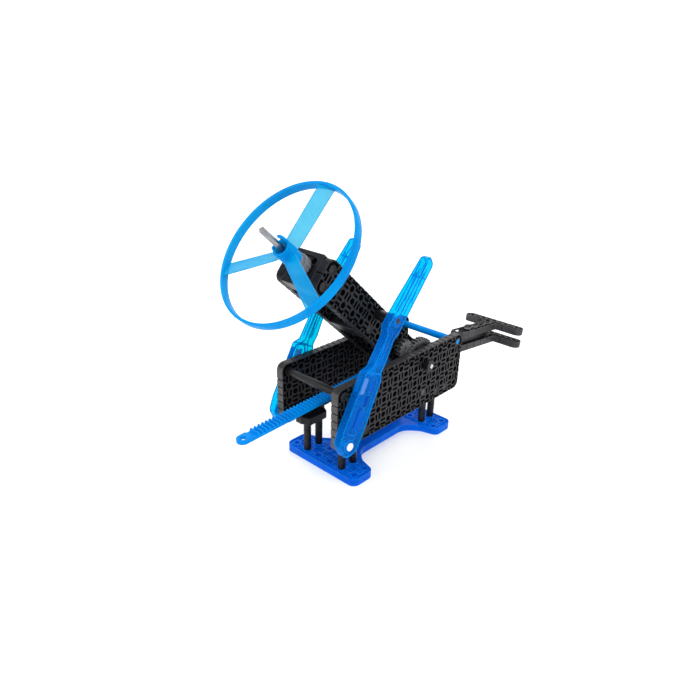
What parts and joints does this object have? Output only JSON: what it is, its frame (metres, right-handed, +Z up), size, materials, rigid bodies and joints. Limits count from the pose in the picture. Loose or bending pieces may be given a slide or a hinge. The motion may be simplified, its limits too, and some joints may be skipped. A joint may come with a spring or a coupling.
{
  "type": "rack-pull rotor launcher",
  "caption": "Perforated-plate launcher: a pulled T-handle rack turns geared axles and a tilted shaft that spins and releases a ringed three-blade propeller.",
  "frame": {"origin": "centre of the base plate's underside, on the ground", "axes": "+X along the rack toward the pull handle, +Y to the left side plate, +Z up"},
  "size_m": [0.3317, 0.1038, 0.2173],
  "materials": {
    "black": "satin moulded",
    "clear_blue": "polished translucent",
    "rack_blue": "semi-gloss flexible",
    "rotor_blue": "gloss",
    "dark_grey": "satin moulded",
    "mid_grey": "satin moulded",
    "white": "satin moulded",
    "steel": "drawn bright"
  },
  "bodies": {
    "chassis": {"side_plate_right": "black", "side_plate_left": "black", "base_plate": "clear_blue", "base_posts": "black", "bracket_front_right": "black", "bracket_rear_right": "black", "bracket_front_left": "black", "bracket_rear_left": "black", "bracket_pins": "black", "front_crossbar": "black", "rear_crossbar": "rack_blue", "rack_guide": "dark_grey", "strut_right": "clear_blue", "strut_left": "clear_blue", "strut_lower_pins": "white", "strut_upper_standoffs": "black", "arm_plate_right": "black", "arm_plate_left": "black", "arm_end_block": "black", "arm_bearing_block": "black", "arm_block_pins": "black"},
    "pull_rack": {"rack": "rack_blue", "handle_upper": "black", "handle_lower": "black", "handle_pins": "black", "rack_coupler": "black"},
    "input_axle": {"axle_lower": "steel", "axle_lower_collars": "black", "rack_pinion": "dark_grey", "spur_gear_large": "dark_grey"},
    "second_axle": {"axle_upper": "steel", "axle_upper_collar": "black", "spur_gear_small": "dark_grey", "bevel_gear_axle": "dark_grey"},
    "rotor_spindle": {"rotor_shaft": "steel", "shaft_stop_collar": "black", "bevel_gear_shaft": "dark_grey", "launch_collar": "mid_grey"},
    "flying_rotor": {"propeller": "rotor_blue"}
  },
  "joints": [
    {"name": "rotor_spin", "type": "hinge", "parent": "chassis", "child": "rotor_spindle", "pos_m": [0.0254, 0, 0.07185], "axis": [-0.7431, 0, 0.6691], "range_deg": [0, 3780]},
    {"name": "rack_pull", "type": "slide", "parent": "chassis", "child": "pull_rack", "axis": [0.9993, 0, 0.0366], "range_m": [0, 0.14]},
    {"name": "input_axle_spin", "type": "hinge", "parent": "chassis", "child": "input_axle", "pos_m": [0.0254, 0, 0.07185], "axis": [0, -1, 0], "range_deg": [0, 1270]},
    {"name": "second_axle_spin", "type": "hinge", "parent": "chassis", "child": "second_axle", "pos_m": [0.00652, 0, 0.08885], "axis": [0, -1, 0], "range_deg": [-3800, 0]},
    {"name": "rotor_launch", "type": "slide", "parent": "rotor_spindle", "child": "flying_rotor", "axis": [-0.7431, 0, 0.6691], "range_m": [0, 0.08]}
  ],
  "couplings": [
    {"joint": "rack_pull", "follows": "rotor_spin", "m_per_rad": 0.0021167},
    {"joint": "input_axle_spin", "follows": "rotor_spin", "ratio": 0.33333},
    {"joint": "second_axle_spin", "follows": "rotor_spin", "ratio": -1}
  ]
}
